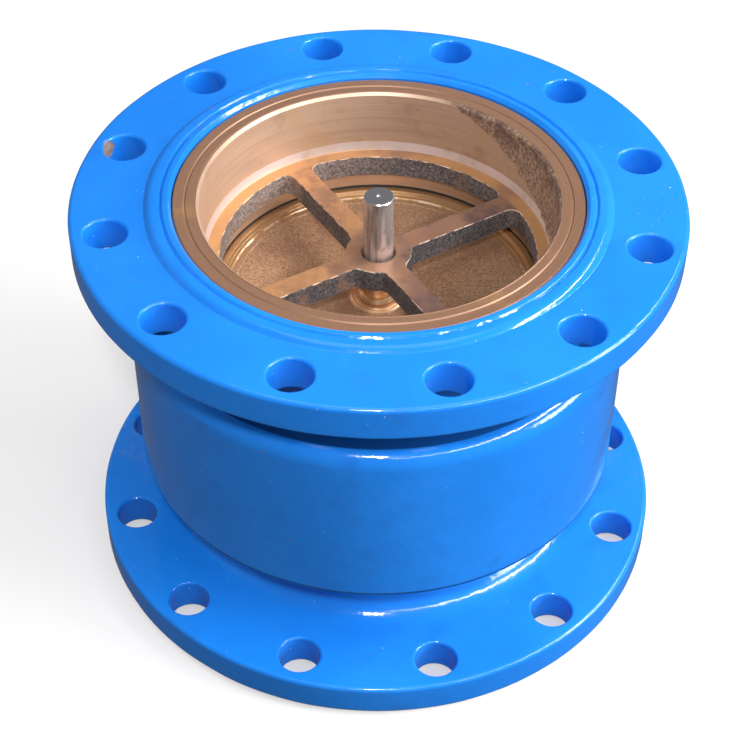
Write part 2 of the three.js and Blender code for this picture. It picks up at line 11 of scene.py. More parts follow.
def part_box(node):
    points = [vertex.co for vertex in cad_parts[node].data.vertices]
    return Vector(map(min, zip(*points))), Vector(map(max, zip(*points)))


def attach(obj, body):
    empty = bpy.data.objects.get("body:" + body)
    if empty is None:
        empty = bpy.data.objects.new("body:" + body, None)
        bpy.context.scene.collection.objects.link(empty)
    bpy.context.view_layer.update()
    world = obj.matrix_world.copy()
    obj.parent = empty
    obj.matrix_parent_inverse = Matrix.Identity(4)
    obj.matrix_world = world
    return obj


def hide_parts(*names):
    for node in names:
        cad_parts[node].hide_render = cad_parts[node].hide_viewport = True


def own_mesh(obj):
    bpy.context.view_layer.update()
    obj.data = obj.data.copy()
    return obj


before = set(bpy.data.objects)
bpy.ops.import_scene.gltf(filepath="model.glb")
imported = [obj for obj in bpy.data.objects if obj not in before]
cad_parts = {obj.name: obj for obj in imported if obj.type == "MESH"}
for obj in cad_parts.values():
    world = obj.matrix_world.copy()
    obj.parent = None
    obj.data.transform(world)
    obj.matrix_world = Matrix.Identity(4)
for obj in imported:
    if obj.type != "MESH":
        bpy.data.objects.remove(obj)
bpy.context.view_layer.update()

MM = 0.001
TAU = 2 * math.pi


# ---- Driving dimensions, from the frame where it has them
def node_top(node):
    return round(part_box(node)[1].z / MM, 3)


def node_bottom(node):
    return round(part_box(node)[0].z / MM, 3)


def node_radius(node):
    return round(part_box(node)[1].x / MM, 3)


GAP = 0.3  # left between pieces that touch on the real valve

# Body
FACE_Z = node_top("valve_body")
FLANGE_R = node_radius("valve_body")
PLATE = 24.0  # thickness of a flange without its raised face
RAISED = 3.0
PLATE_TOP_Z = FACE_Z - RAISED
PLATE_BACK_Z = PLATE_TOP_Z - PLATE
LOW_PLATE_BACK_Z = RAISED + PLATE
BOLT_CIRCLE_R = 177.5
BOLT_HOLE_R = 14.0
BOLT_ANGLES = [15 + 30 * i for i in range(12)]
BARREL_R = 167.5
BARREL_LOW_Z = 84.6
BARREL_HIGH_Z = 212.0
LOW_NECK_R = 130.0
HIGH_NECK_R = 146.0
CAVITY_R = 154.5
OUTLET_R = 117.0
GROOVE_R = 141.2  # sealing groove of the raised faces

# Seat ring, with its spider
SEAT_FACE_Z = node_top("seat_ring")
SEAT_FOOT_Z = node_bottom("seat_ring")
SEAT_R = node_radius("seat_ring")
POCKET_R = SEAT_R + 0.5
SHELF_Z = 222.0  # the body's ledge under the seat ring
BORE_R = 118.4
SPIDER_R = 113.8
SCRIBED_R = 119.2  # fine line turned into the face
SPIDER_Z = 239.0
SPIDER_LOW_Z = 224.0
SPIDER_ANGLE = 33.5
WINDOW_R = 105.5
ARM_HALF = 7.5
HUB_R = 22.0
HUB_BORE_R = 11.3
O_RING_LOW_Z = 252.8
O_RING_HIGH_Z = 257.7
SET_SCREW_Z = 234.0
SET_SCREW_R = 5.0

# Disc and stem
DISC_R = node_radius("disc")
DISC_BOTTOM_Z = node_bottom("disc")
DISC_TOP_Z = node_top("disc")
BOSS_R = 19.6
STEM_TOP_Z = node_top("stem")
STEM_R = 10.0
STEM_HOLE_R = STEM_R + GAP
SPIGOT_R = 8.0  # the stem's lower end, in the bushing

# Outlet guide
GUIDE_TOP_Z = node_top("outlet_guide")
GUIDE_POCKET_Z = 15.3
GUIDE_SCREW_CIRCLE_R = 125.6
GUIDE_SCREW_ANGLES = [45 + 90 * i for i in range(4)]
GUIDE_SCREW_R = 4.0
BUSHING_R = node_radius("guide_bushing")
BUSHING_POCKET_R = BUSHING_R + GAP

WARM_WHITE = (1, 0.98, 0.97)


# ---- Outline helpers
def rounded(points, closed=True):
    """(r, z, fillet) corners to (r, z) points, with each fillet as an arc of short steps."""
    step_degrees = 18
    path = []
    count = len(points)
    for i, (r, z, fillet) in enumerate(points):
        corner = Vector((r, z))
        if fillet <= 0 or (not closed and i in (0, count - 1)):
            path.append((r, z))
            continue
        before = Vector(points[i - 1][:2]) - corner
        after = Vector(points[(i + 1) % count][:2]) - corner
        half = before.angle(after) / 2
        reach = min(fillet / math.tan(half), 0.49 * before.length, 0.49 * after.length)
        radius = reach * math.tan(half)
        before.normalize()
        after.normalize()
        centre = corner + (before + after).normalized() * (radius / math.sin(half))
        start = corner + before * reach - centre
        end = corner + after * reach - centre
        turn = math.atan2(start.x * end.y - start.y * end.x, start.dot(end))
        steps = max(2, math.ceil(abs(math.degrees(turn)) / step_degrees))
        for k in range(steps + 1):
            part = Matrix.Rotation(turn * k / steps, 2) @ start
            path.append(tuple(centre + part))
    return path


def split_long(path, longest, closed=True):
    """Adds points so that no stretch of the outline is longer than this."""
    out = []
    last = len(path) if closed else len(path) - 1
    for i in range(last):
        a = Vector(path[i])
        b = Vector(path[(i + 1) % len(path)])
        steps = max(1, math.ceil((b - a).length / longest))
        out += [tuple(a.lerp(b, k / steps)) for k in range(steps)]
    if not closed:
        out.append(path[-1])
    return out


def outline_normals(outline):
    """The outward direction at each point of a closed counter-clockwise outline."""
    normals = []
    for i, point in enumerate(outline):
        ahead = Vector(outline[(i + 1) % len(outline)]) - Vector(outline[i - 1])
        normals.append(Vector((ahead.y, -ahead.x)).normalized())
    return normals


# ---- Mesh helpers
def to_object(name, verts, faces):
    """Vertices in millimetres become an object in metres, with its faces pointing out."""
    mesh = bpy.data.meshes.new(name)
    mesh.from_pydata([Vector(v) * MM for v in verts], [], faces)
    work = bmesh.new()
    work.from_mesh(mesh)
    bmesh.ops.recalc_face_normals(work, faces=work.faces)
    work.to_mesh(mesh)
    work.free()
    obj = bpy.data.objects.new(name, mesh)
    bpy.context.scene.collection.objects.link(obj)
    return obj


def quads(rings, around, closed=False):
    """Faces between rings of points, each ring joined to the next, and if closed the last to the first."""
    faces = []
    for i in range(rings if closed else rings - 1):
        j = (i + 1) % rings
        for k in range(around):
            n = (k + 1) % around
            faces.append((i * around + k, i * around + n, j * around + n, j * around + k))
    return faces


def lathe(name, path, segments, shift=None):
    """Turns an outline about Z. It closes on itself, or starts and ends on the axis.
    shift(r, z, angle) moves a point's radius and height."""
    open_ends = path[0][0] == 0 and path[-1][0] == 0
    rings = path[1:-1] if open_ends else path
    verts = []
    for r, z in rings:
        for k in range(segments):
            angle = TAU * k / segments
            rr, zz = shift(r, z, angle) if shift else (r, z)
            verts.append((rr * math.cos(angle), rr * math.sin(angle), zz))
    faces = quads(len(rings), segments, closed=not open_ends)
    if open_ends:
        first, last = len(verts), len(verts) + 1
        verts += [(0, 0, path[0][1]), (0, 0, path[-1][1])]
        top = (len(rings) - 1) * segments
        for k in range(segments):
            n = (k + 1) % segments
            faces.append((first, n, k))
            faces.append((last, top + k, top + n))
    return to_object(name, verts, faces)


def prism(name, outline, levels):
    """A closed solid over a counter-clockwise outline. levels are (height, outward offset)."""
    normals = outline_normals(outline)
    count = len(outline)
    verts = []
    for z, offset in levels:
        for point, normal in zip(outline, normals):
            moved = Vector(point) + normal * offset
            verts.append((moved.x, moved.y, z))
    faces = quads(len(levels), count)
    faces.append(tuple(range(count)))
    faces.append(tuple((len(levels) - 1) * count + k for k in range(count)))
    return to_object(name, verts, faces)


def move(obj, matrix):
    obj.data.transform(matrix)
    return obj


def at_polar(radius, degrees, z=0.0):
    angle = math.radians(degrees)
    return Matrix.Translation(Vector((radius * math.cos(angle), radius * math.sin(angle), z)) * MM)


def spin(degrees):
    return Matrix.Rotation(math.radians(degrees), 4, "Z")


def joined(name, objects):
    """One object out of several, which are used up."""
    work = bmesh.new()
    for obj in objects:
        work.from_mesh(obj.data)
        bpy.data.objects.remove(obj)
    mesh = bpy.data.meshes.new(name)
    work.to_mesh(mesh)
    work.free()
    whole = bpy.data.objects.new(name, mesh)
    bpy.context.scene.collection.objects.link(whole)
    return whole


def baked(obj):
    """Replaces the mesh by what its modifiers make of it."""
    depsgraph = bpy.context.evaluated_depsgraph_get()
    mesh = bpy.data.meshes.new_from_object(obj.evaluated_get(depsgraph))
    obj.modifiers.clear()
    obj.data = mesh


def boolean(obj, others, operation):
    """Changes an object by UNION, DIFFERENCE or INTERSECT with others, which are used up."""
    other = joined(obj.name + "_tool", others)
    modifier = obj.modifiers.new(operation.lower(), "BOOLEAN")
    modifier.operation = operation
    modifier.solver = "MANIFOLD"
    modifier.object = other
    baked(obj)
    bpy.data.objects.remove(other)


def smooth(obj, sharp_degrees=32):
    """Smooth shading with crisp edges, and normals led by the big flat faces."""
    work = bmesh.new()
    work.from_mesh(obj.data)
    bmesh.ops.dissolve_degenerate(work, dist=1e-7, edges=work.edges)
    limit = math.radians(sharp_degrees)
    for face in work.faces:
        face.smooth = True
    for edge in work.edges:
        edge.smooth = len(edge.link_faces) == 2 and edge.calc_face_angle() < limit
    work.to_mesh(obj.data)
    work.free()
    modifier = obj.modifiers.new("weighted_normal", "WEIGHTED_NORMAL")
    modifier.mode = "FACE_AREA"
    modifier.weight = 60
    modifier.keep_sharp = True
    baked(obj)


def drill(radius, bottom, top, rim):
    """A cutter for a through hole with rounded rims at both faces."""
    over = 4
    wide = radius + rim
    arc = [math.radians(a) for a in (0, 22.5, 45, 67.5, 90)]
    low = [(wide - rim * math.cos(a), bottom + rim - rim * math.sin(a)) for a in arc]
    high = [(wide - rim * math.cos(a), top - rim + rim * math.sin(a)) for a in arc]
    ends_low = [(0, bottom - over), (wide, bottom - over)]
    ends_high = [(wide, top + over), (0, top + over)]
    return lathe("drill", ends_low + low[::-1] + high + ends_high, 40)


def ring_corners(inner, outer, bottom, top, fillet):
    return [(inner, bottom, fillet), (outer, bottom, fillet), (outer, top, fillet), (inner, top, fillet)]


def plug(radius, bottom, top, segments):
    """A plain round cutter."""
    return lathe("plug", [(0, bottom), (radius, bottom), (radius, top), (0, top)], segments)


def radial(obj, degrees, z):
    """Lays a solid made along Z so that it points outwards at the given angle and height."""
    lay = Matrix.Rotation(math.radians(90), 4, "Y")
    return move(obj, spin(degrees) @ Matrix.Translation((0, 0, z * MM)) @ lay)


def wander(point, size, amount):
    """Slow random drift of a surface: size is its wavelength and amount its height."""
    return noise.noise(Vector(point) / size) * amount


# ---- Look helper: a short way to write procedural materials
class Look:
    """Inputs for masks: x, y, z and radius in millimetres, and angle in radians.
    The scale of a texture is in features per metre."""

    def __init__(self, name):
        self.material = bpy.data.materials.new(name)
        self.material.use_nodes = True
        self.tree = self.material.node_tree
        self.shader = self.tree.nodes["Principled BSDF"]
        self.metres = self.node("ShaderNodeTexCoord").outputs["Object"]
        self.place = self.vector("MULTIPLY", self.metres, (1 / MM, 1 / MM, 1 / MM))
        parts = self.node("ShaderNodeSeparateXYZ")
        self.feed(parts.inputs[0], self.place)
        self.x, self.y, self.z = parts.outputs
        x_squared = self.math("MULTIPLY", self.x, self.x)
        y_squared = self.math("MULTIPLY", self.y, self.y)
        self.radius = self.math("SQRT", self.math("ADD", x_squared, y_squared))
        self.angle = self.math("ARCTAN2", self.y, self.x)

    def node(self, kind, **settings):
        made = self.tree.nodes.new(kind)
        for key, value in settings.items():
            setattr(made, key, value)
        return made

    def feed(self, socket, value):
        """Links a socket to another one, or sets it to a number, vector or colour."""
        if isinstance(value, bpy.types.NodeSocket):
            self.tree.links.new(value, socket)
        elif isinstance(value, tuple) and socket.type == "RGBA":
            socket.default_value = (*value, 1)
        else:
            socket.default_value = value

    def math(self, operation, a, b=0.0, kind="ShaderNodeMath"):
        made = self.node(kind, operation=operation)
        self.feed(made.inputs[0], a)
        self.feed(made.inputs[1], b)
        return made.outputs[0]

    def vector(self, operation, a, b):
        return self.math(operation, a, b, "ShaderNodeVectorMath")

    # Masks go from 0 to 1.
    def step(self, value, low, high):
        """0 below low, 1 above high and a smooth rise between; low may be the greater."""
        made = self.node("ShaderNodeMapRange", interpolation_type="SMOOTHSTEP")
        self.feed(made.inputs["Value"], value)
        made.inputs["From Min"].default_value = low
        made.inputs["From Max"].default_value = high
        return made.outputs[0]

    def band(self, value, rise, fall):
        """A smooth rise over the two values of rise, and a smooth fall over the two of fall."""
        return self.both(self.step(value, *rise), self.step(value, fall[1], fall[0]))

    def both(self, *masks):
        return reduce(lambda a, b: self.math("MULTIPLY", a, b), masks)

    def either(self, *masks):
        return reduce(lambda a, b: self.math("MAXIMUM", a, b), masks)

    def invert(self, mask):
        return self.math("SUBTRACT", 1.0, mask)

    def noise(self, scale, detail=3.0, roughness=0.55, vector=None):
        made = self.node("ShaderNodeTexNoise")
        self.feed(made.inputs["Vector"], vector or self.metres)
        for name, value in (("Scale", scale), ("Detail", detail), ("Roughness", roughness)):
            made.inputs[name].default_value = value
        return made.outputs["Fac"]

    def patches(self, low, high, *texture):
        """Patches of noise with soft edges; texture is what noise takes."""
        return self.step(self.noise(*texture), low, high)

    def jitter(self, grain, detail, roughness, amount):
        """Noise about zero, in millimetres, that makes the edge of a mask ragged."""
        centred = self.math("SUBTRACT", self.noise(grain, detail, roughness), 0.5)
        return self.math("MULTIPLY", centred, amount)

    def dots(self, scale, size, share):
        """Sparse round specks: size and share are shares of their spacing and of their number."""
        cells = self.node("ShaderNodeTexVoronoi")
        self.feed(cells.inputs["Vector"], self.metres)
        cells.inputs["Scale"].default_value = scale
        number = self.node("ShaderNodeSeparateColor")
        self.feed(number.inputs[0], cells.outputs["Color"])
        round_speck = self.step(cells.outputs["Distance"], size, size * 0.6)
        chosen = self.step(number.outputs[0], 1 - share, 1.01 - share)
        return self.both(round_speck, chosen)

    def near(self, point, size, ragged, grain=300.0):
        """A blot around a point, in millimetres, with a ragged edge."""
        length = self.node("ShaderNodeVectorMath", operation="LENGTH")
        self.feed(length.inputs[0], self.vector("SUBTRACT", self.place, point))
        distance = self.math("ADD", length.outputs["Value"], self.jitter(grain, 3.0, 0.55, ragged))
        return self.step(distance, size, size * 0.75)

    def turned(self, density, detail=3.0, roughness=0.7):
        """Tool marks of a turned surface: noise that changes across them and little round the axis."""
        across = self.node("ShaderNodeCombineXYZ")
        self.feed(across.inputs[0], self.math("MULTIPLY", self.radius, density))
        self.feed(across.inputs[1], self.math("MULTIPLY", self.z, density))
        self.feed(across.inputs[2], self.math("MULTIPLY", self.angle, 0.6))
        return self.noise(1, detail, roughness, across.outputs[0])

    # Colours and numbers.
    def mix(self, mask, a, b):
        made = self.node("ShaderNodeMix", data_type="RGBA")
        self.feed(made.inputs["Factor"], mask)
        self.feed(made.inputs[6], a)
        self.feed(made.inputs[7], b)
        return made.outputs[2]

    def tint(self, color, mask, share, paint):
        """Lays paint over a colour where the mask is, never by more than share."""
        return self.mix(self.math("MULTIPLY", mask, share), color, paint)

    def blend(self, mask, a, b):
        """Between two numbers."""
        made = self.node("ShaderNodeMix", data_type="FLOAT")
        self.feed(made.inputs["Factor"], mask)
        self.feed(made.inputs[2], a)
        self.feed(made.inputs[3], b)
        return made.outputs[0]

    def bump(self, *layers):
        """layers are (mask, height in millimetres)."""
        normal = None
        for height, depth in layers:
            made = self.node("ShaderNodeBump")
            made.inputs["Distance"].default_value = depth * MM
            self.feed(made.inputs["Height"], height)
            if normal is not None:
                self.feed(made.inputs["Normal"], normal)
            normal = made.outputs[0]
        self.feed(self.shader.inputs["Normal"], normal)

    def finish(self, color, roughness, metallic=0.0, ior=None):
        self.feed(self.shader.inputs["Base Color"], color)
        self.feed(self.shader.inputs["Roughness"], roughness)
        self.feed(self.shader.inputs["Metallic"], metallic)
        if ior:
            self.shader.inputs["IOR"].default_value = ior
        return self.material


# ---- Materials
def blue_epoxy():
    """Thick glossy paint, with dust, specks, rust and a chipped bolt hole; painted shade darkens the left
    of the top face and two corners.
    """
    look = Look("blue_epoxy")
    color = look.mix(look.patches(0.35, 0.7, 9, 4), (0.011, 0.205, 0.74), (0.016, 0.235, 0.82))
    color = look.mix(look.patches(0.5, 0.85, 38, 4), color, (0.014, 0.18, 0.66))
    # Painted shade: the left part of the top face is painted darker.
    on_top = look.step(look.z, PLATE_TOP_Z - 1.2, PLATE_TOP_Z - 0.2)
    shaded_left_of_top = look.both(look.step(look.x, -50, -150), on_top)
    color = look.tint(color, shaded_left_of_top, 0.3, (0.006, 0.09, 0.36))

    low = look.step(look.z, LOW_PLATE_BACK_Z + 18, LOW_PLATE_BACK_Z + 1)
    rear = look.step(look.y, -30, 80)
    dust = look.both(low, rear, look.patches(0.45, 0.62, 22, 5, 0.7))
    dust = look.both(dust, look.patches(0.42, 0.62, 900, 2))
    color = look.tint(color, dust, 0.5, (0.30, 0.20, 0.22))
    pale = look.either(look.dots(95, 0.055, 0.10), look.dots(210, 0.07, 0.05))
    color = look.mix(pale, color, (0.55, 0.62, 0.80))
    right_of_plate = look.near((BOLT_CIRCLE_R + 6.5, -4, PLATE_TOP_Z), 34, 20, 60)
    spatter = look.both(right_of_plate, look.dots(480, 0.16, 0.16))
    color = look.mix(spatter, color, (0.55, 0.36, 0.42))
    low_right = look.both(low, look.step(look.x, 100, 160))
    rust = look.either(look.dots(60, 0.06, 0.07), look.both(look.dots(330, 0.13, 0.10), low_right))
    color = look.mix(rust, color, (0.28, 0.10, 0.07))

    # Painted shade: dark navy is painted on the neck and shoulder under the top flange and on the
    # underside of the barrel's lip, where shadow falls.
    in_neck = look.step(look.radius, BARREL_R - 7.7, BARREL_R - 8.7)
    above_shoulder = look.both(in_neck, look.band(look.z, (200, 205), (216.5, 218.5)))
    past_neck = look.step(look.radius, BARREL_R - 17.5, BARREL_R - 15.5)
    under_barrel = look.both(past_neck, look.band(look.z, (70, 72), (87.6, 88.6)))
    painted_shade_bands = look.either(above_shoulder, under_barrel)
    color = look.tint(color, painted_shade_bands, 0.8, (0.005, 0.035, 0.14))

    chip = look.either(look.near((-184, 50.5, 277.5), 8, 6), look.near((-185.5, 43, 276.5), 5.5, 6))
    color = look.mix(chip, color, look.mix(look.noise(260, 3), (0.10, 0.11, 0.10), (0.42, 0.26, 0.20)))
    rough = look.blend(look.patches(0.3, 0.7, 14, 2), 0.09, 0.16)
    rough = look.blend(look.either(dust, chip), rough, 0.6)
    wave = look.noise(70, 2, 0.5)
    ripple = look.noise(150, 2, 0.5)
    peel = look.noise(330, 1.5, 0.4)
    look.bump((wave, 0.3), (ripple, 0.11), (peel, 0.085), (pale, 0.12), (chip, -0.5))
    return look.finish(color, rough, ior=1.5)


def turned_bronze():
    """The seat ring: a brown face, a pale bore with an unstained foot, gold stains and a rough patch."""
    look = Look("turned_bronze")
    lines = look.turned(2.6)
    wide = look.turned(0.42, 2, 0.5)
    bore = look.mix(lines, (0.41, 0.265, 0.185), (0.70, 0.50, 0.365))
    bore = look.tint(bore, look.step(wide, 0.5, 0.8), 0.5, (0.36, 0.22, 0.15))
    face = look.mix(lines, (0.215, 0.110, 0.068), (0.43, 0.24, 0.145))
    grit = look.noise(1500, 2, 0.7)
    face = look.mix(look.step(grit, 0.55, 0.75), face, (0.13, 0.075, 0.06))
    near_face = look.step(look.z, SEAT_FACE_Z - 1.5, SEAT_FACE_Z - 0.8)
    flat = look.step(look.z, SEAT_FACE_Z - 0.25, SEAT_FACE_Z - 0.1)
    past_scribed_line = look.step(look.radius, SCRIBED_R - 0.4, SCRIBED_R - 0.2)
    on_face = look.both(look.either(flat, past_scribed_line), near_face)
    color = look.mix(on_face, bore, face)

    foot_height = look.band(look.z, (SPIDER_Z - 0.2, SPIDER_Z + 0.2), (SPIDER_Z + 6.2, SPIDER_Z + 7.2))
    foot = look.both(foot_height, look.band(look.radius, (113, 113.4), (116, 116.5)))
    color = look.mix(foot, color, look.mix(lines, (0.52, 0.42, 0.385), (0.82, 0.68, 0.645)))
    stain = look.patches(0.52, 0.72, 26, 5, 0.65)
    color = look.tint(color, stain, 0.4, (0.30, 0.165, 0.10))
    gold = look.both(look.patches(0.56, 0.68, 17, 4, 0.7), look.step(lines, 0.35, 0.6))
    color = look.tint(color, gold, 0.45, (0.56, 0.33, 0.13))
    color = look.mix(look.dots(420, 0.12, 0.05), color, (0.85, 0.70, 0.55))
    outside = look.both(look.step(look.radius, 119.5, 119.8), look.invert(near_face))
    color = look.mix(outside, color, look.mix(lines, (0.42, 0.245, 0.13), (0.66, 0.42, 0.24)))

    cast = as_cast_patch(look)
    grain = look.noise(430, 4, 0.75)
    sand = look.mix(look.step(grain, 0.34, 0.66), (0.15, 0.085, 0.065), (0.56, 0.38, 0.27))
    high = look.step(look.z, SEAT_FACE_Z - 23, SEAT_FACE_Z - 5)
    dark = look.both(high, look.patches(0.40, 0.60, 90, 4, 0.7))
    color = look.mix(cast, color, look.tint(sand, dark, 0.7, (0.12, 0.075, 0.065)))
    rough = look.blend(cast, look.blend(lines, 0.33, 0.5), 0.62)
    look.bump((lines, 0.02), (look.math("MULTIPLY", grain, cast), 0.7))
    return look.finish(color, rough, look.blend(outside, look.blend(cast, 0.42, 0.3), 0.85))


def as_cast_patch(look):
    """Where the seat ring's bore was left rough: a wedge that hangs from the face towards +X."""
    bore_radius = look.step(look.radius, BORE_R + 0.2, BORE_R - 0.2)
    in_bore = look.both(bore_radius, look.step(look.z, SPIDER_Z + 0.5, SPIDER_Z + 2.5))
    left = look.step(look.angle, math.radians(77), math.radians(8))
    right = look.step(look.angle, math.radians(-58), math.radians(-18))
    depth = look.math("MULTIPLY", look.both(left, right), 45)
    edge = look.math("SUBTRACT", SEAT_FACE_Z, depth)
    height = look.math("ADD", look.z, look.jitter(130, 4, 0.7, 13))
    above = look.math("SUBTRACT", height, edge)
    return look.both(in_bore, look.step(above, 0, 1.5), look.step(depth, 1, 4))


def spider_bronze():
    """The machined top of the seat ring's arms: golden at the rim, painted shade at the right, and stains
    heavier at the right.
    """
    look = Look("spider_bronze")
    streak = look.noise(130, 4, 0.65)
    color = look.mix(streak, (0.40, 0.185, 0.085), (0.71, 0.38, 0.19))
    hub = look.step(look.radius, 34, 18)
    color = look.tint(color, hub, 0.55, (0.27, 0.16, 0.125))
    # Painted shade: the arms are painted darker at the right, and more so at the front right and the rear
    # right.
    right = look.step(look.x, -20, 35)
    color = look.tint(color, right, 0.62, (0.27, 0.15, 0.115))
    front = look.both(look.step(look.x, 6, 30), look.step(look.y, -4, -30))
    color = look.tint(color, front, 0.6, (0.17, 0.095, 0.085))
    rear = look.both(look.step(look.x, 12, 35), look.step(look.y, 0, 12))
    color = look.tint(color, rear, 0.36, (0.16, 0.085, 0.075))
    stain = look.patches(0.47, 0.64, 34, 4, 0.6)
    color = look.tint(color, stain, look.blend(right, 0.5, 0.8), (0.13, 0.085, 0.09))
    rim = look.step(look.radius, WINDOW_R - 2.5, WINDOW_R + 1.5)
    gold = look.both(rim, look.patches(0.3, 0.5, 20))
    color = look.tint(color, gold, 0.7, (0.62, 0.33, 0.13))
    scratch = look.noise(900, 2, 0.6)
    look.bump((streak, 0.08), (scratch, 0.025))
    return look.finish(color, look.blend(streak, 0.36, 0.54), 0.42)


def cast_bronze():
    """The rough window walls of the seat ring, with painted light: paler at the far left, painted shade
    near the hub, and a painted highlight along the top edge."""
    look = Look("cast_bronze")
    grain = look.noise(520, 4, 0.75)
    lump = look.noise(150, 3, 0.6)
    pit = look.step(grain, 0.38, 0.64)
    color = look.mix(pit, (0.075, 0.065, 0.067), (0.25, 0.205, 0.20))
    # Painted light: the far-left walls, which face the lamps, are painted paler.
    lit_far_left_walls = look.both(look.step(look.x, 20, -60), look.step(look.y, -50, 30))
    color = look.tint(color, lit_far_left_walls, 0.6, look.mix(pit, (0.22, 0.175, 0.15), (0.54, 0.42, 0.36)))
    # Painted shade: the walls near the hub are painted dark.
    inner = look.step(look.radius, 95, 83)
    color = look.tint(color, inner, 0.75, look.mix(pit, (0.040, 0.040, 0.046), (0.13, 0.125, 0.135)))
    warm = look.patches(0.52, 0.7, 60, 3)
    color = look.tint(color, warm, 0.4, (0.40, 0.20, 0.11))
    fleck = look.dots(330, 0.15, 0.11)
    color = look.mix(fleck, color, (0.85, 0.76, 0.66))
    # Painted highlight: a broken bright line is painted along the top edge of the walls.
    top_edge = look.step(look.z, SPIDER_Z - 1.1, SPIDER_Z - 0.5)
    painted_edge_highlight = look.both(top_edge, look.patches(0.42, 0.58, 190, 4, 0.65))
    color = look.mix(painted_edge_highlight, color, (0.92, 0.71, 0.57))
    look.bump((lump, 0.7), (grain, 0.7), (fleck, 0.15))
    return look.finish(color, look.blend(fleck, 0.62, 0.3), 0.3)


def disc_bronze():
    """A speckled casting with a turned rim and boss, and a painted broken highlight round the rim."""
    look = Look("disc_bronze")
    speck = look.noise(620, 4, 0.8)
    color = look.mix(look.step(speck, 0.32, 0.68), (0.25, 0.135, 0.075), (0.60, 0.37, 0.225))
    patch = look.patches(0.45, 0.7, 30, 4, 0.6)
    color = look.tint(color, patch, 0.5, (0.24, 0.13, 0.085))
    color = look.mix(look.dots(700, 0.2, 0.10), color, (0.80, 0.58, 0.38))
    lines = look.turned(1.7, 2, 0.6)
    rim = look.step(look.radius, 98.5, 101.5)
    color = look.mix(rim, color, look.mix(lines, (0.34, 0.18, 0.08), (0.70, 0.43, 0.22)))
    boss = look.step(look.radius, BOSS_R - 0.1, BOSS_R - 2.1)
    color = look.mix(boss, color, (0.70, 0.43, 0.25))
    # Painted highlight: broken bright dashes are painted round the rim.
    line = look.band(look.radius, (100.5, 101.2), (102.2, 103))
    painted_glint = look.both(line, look.patches(0.46, 0.60, 110, 4, 0.65))
    color = look.tint(color, painted_glint, 0.6, (1.0, 0.86, 0.68))
    color = look.mix(look.dots(240, 0.10, 0.06), color, (0.84, 0.72, 0.58))
    machined = look.either(rim, boss)
    rough = look.blend(machined, look.blend(speck, 0.34, 0.52), 0.3)
    look.bump((speck, 0.12), (look.math("MULTIPLY", lines, rim), 0.03))
    return look.finish(color, rough, look.blend(machined, 0.4, 0.7))


def guide_bronze():
    look = Look("guide_bronze")
    grain = look.noise(420, 4, 0.7)
    color = look.mix(grain, (0.24, 0.13, 0.075), (0.55, 0.34, 0.19))
    stain = look.patches(0.5, 0.7, 40, 4)
    color = look.tint(color, stain, 0.5, (0.16, 0.10, 0.075))
    look.bump((look.noise(110, 3), 0.35), (grain, 0.2))
    return look.finish(color, look.blend(grain, 0.42, 0.62), 0.75)


def bushing_bronze():
    look = Look("bushing_bronze")
    lines = look.turned(2.4)
    color = look.mix(lines, (0.50, 0.31, 0.11), (0.80, 0.55, 0.27))
    look.bump((lines, 0.015))
    return look.finish(color, look.blend(lines, 0.25, 0.4), 1.0)


def stem_steel():
    """Ground bar: tool marks round it, painted reflection streaks along it, a duller sawn end and a warm
    tarnish by the disc."""
    look = Look("stem_stainless")
    marks = look.turned(2.2)
    color = look.mix(marks, (0.46, 0.42, 0.43), (0.82, 0.77, 0.78))
    # Painted reflection: dark streaks along the bar stand in for reflected bands.
    along = look.vector("MULTIPLY", look.metres, (1, 1, 0.06))
    streak = look.patches(0.46, 0.60, 230, 3, 0.65, along)
    color = look.tint(color, streak, 0.6, (0.17, 0.145, 0.145))
    blot = look.patches(0.58, 0.75, 120, 4, 0.65)
    color = look.tint(color, blot, 0.5, (0.13, 0.12, 0.13))
    end = look.step(look.z, STEM_TOP_Z - 0.3, STEM_TOP_Z - 0.1)
    color = look.mix(end, color, (0.30, 0.295, 0.32))
    stained = look.band(look.z, (198, 200), (208, 225))
    color = look.mix(stained, color, (0.62, 0.40, 0.23))
    look.bump((marks, 0.008), (look.noise(90, 3), 0.02))
    return look.finish(color, look.blend(blot, look.blend(marks, 0.17, 0.32), 0.4), 0.75)


def steel(name, dark, light, rough, smudge, density):
    """Turned or drawn steel: smudge says how much its dark blots show."""
    look = Look(name)
    marks = look.turned(density)
    blot = look.patches(0.55, 0.75, 120, 4, 0.65)
    color = look.tint(look.mix(marks, dark, light), blot, smudge, (0.13, 0.12, 0.13))
    look.bump((marks, 0.008), (look.noise(90, 3), 0.02))
    return look.finish(color, look.blend(blot, look.blend(marks, rough, rough + 0.14), rough + 0.22), 1.0)


def rubber():
    look = Look("black_rubber")
    grain = look.noise(700, 2)
    color = look.mix(grain, (0.010, 0.010, 0.011), (0.028, 0.027, 0.026))
    look.bump((grain, 0.03))
    return look.finish(color, look.blend(grain, 0.5, 0.7), ior=1.5)


def studio_floor():
    """A pale floor that glows a little, so that it stays pale in soft light."""
    look = Look("studio_floor")
    color = look.mix(look.noise(3, 3), (0.55, 0.54, 0.535), (0.58, 0.57, 0.565))
    look.feed(look.shader.inputs["Emission Color"], WARM_WHITE)
    look.shader.inputs["Emission Strength"].default_value = 0.36
    return look.finish(color, 0.8, ior=1.2)


EPOXY = blue_epoxy()
TURNED = turned_bronze()
SPIDER = spider_bronze()
CAST = cast_bronze()
DISC = disc_bronze()
GUIDE = guide_bronze()
BUSHING = bushing_bronze()
STEM = stem_steel()
BRIGHT = steel("bright_stainless", (0.50, 0.50, 0.50), (0.78, 0.78, 0.78), 0.22, 0.0, 2.2)
WIRE = steel("spring_wire", (0.30, 0.30, 0.30), (0.58, 0.57, 0.56), 0.28, 0.3, 0.9)
RUBBER = rubber()


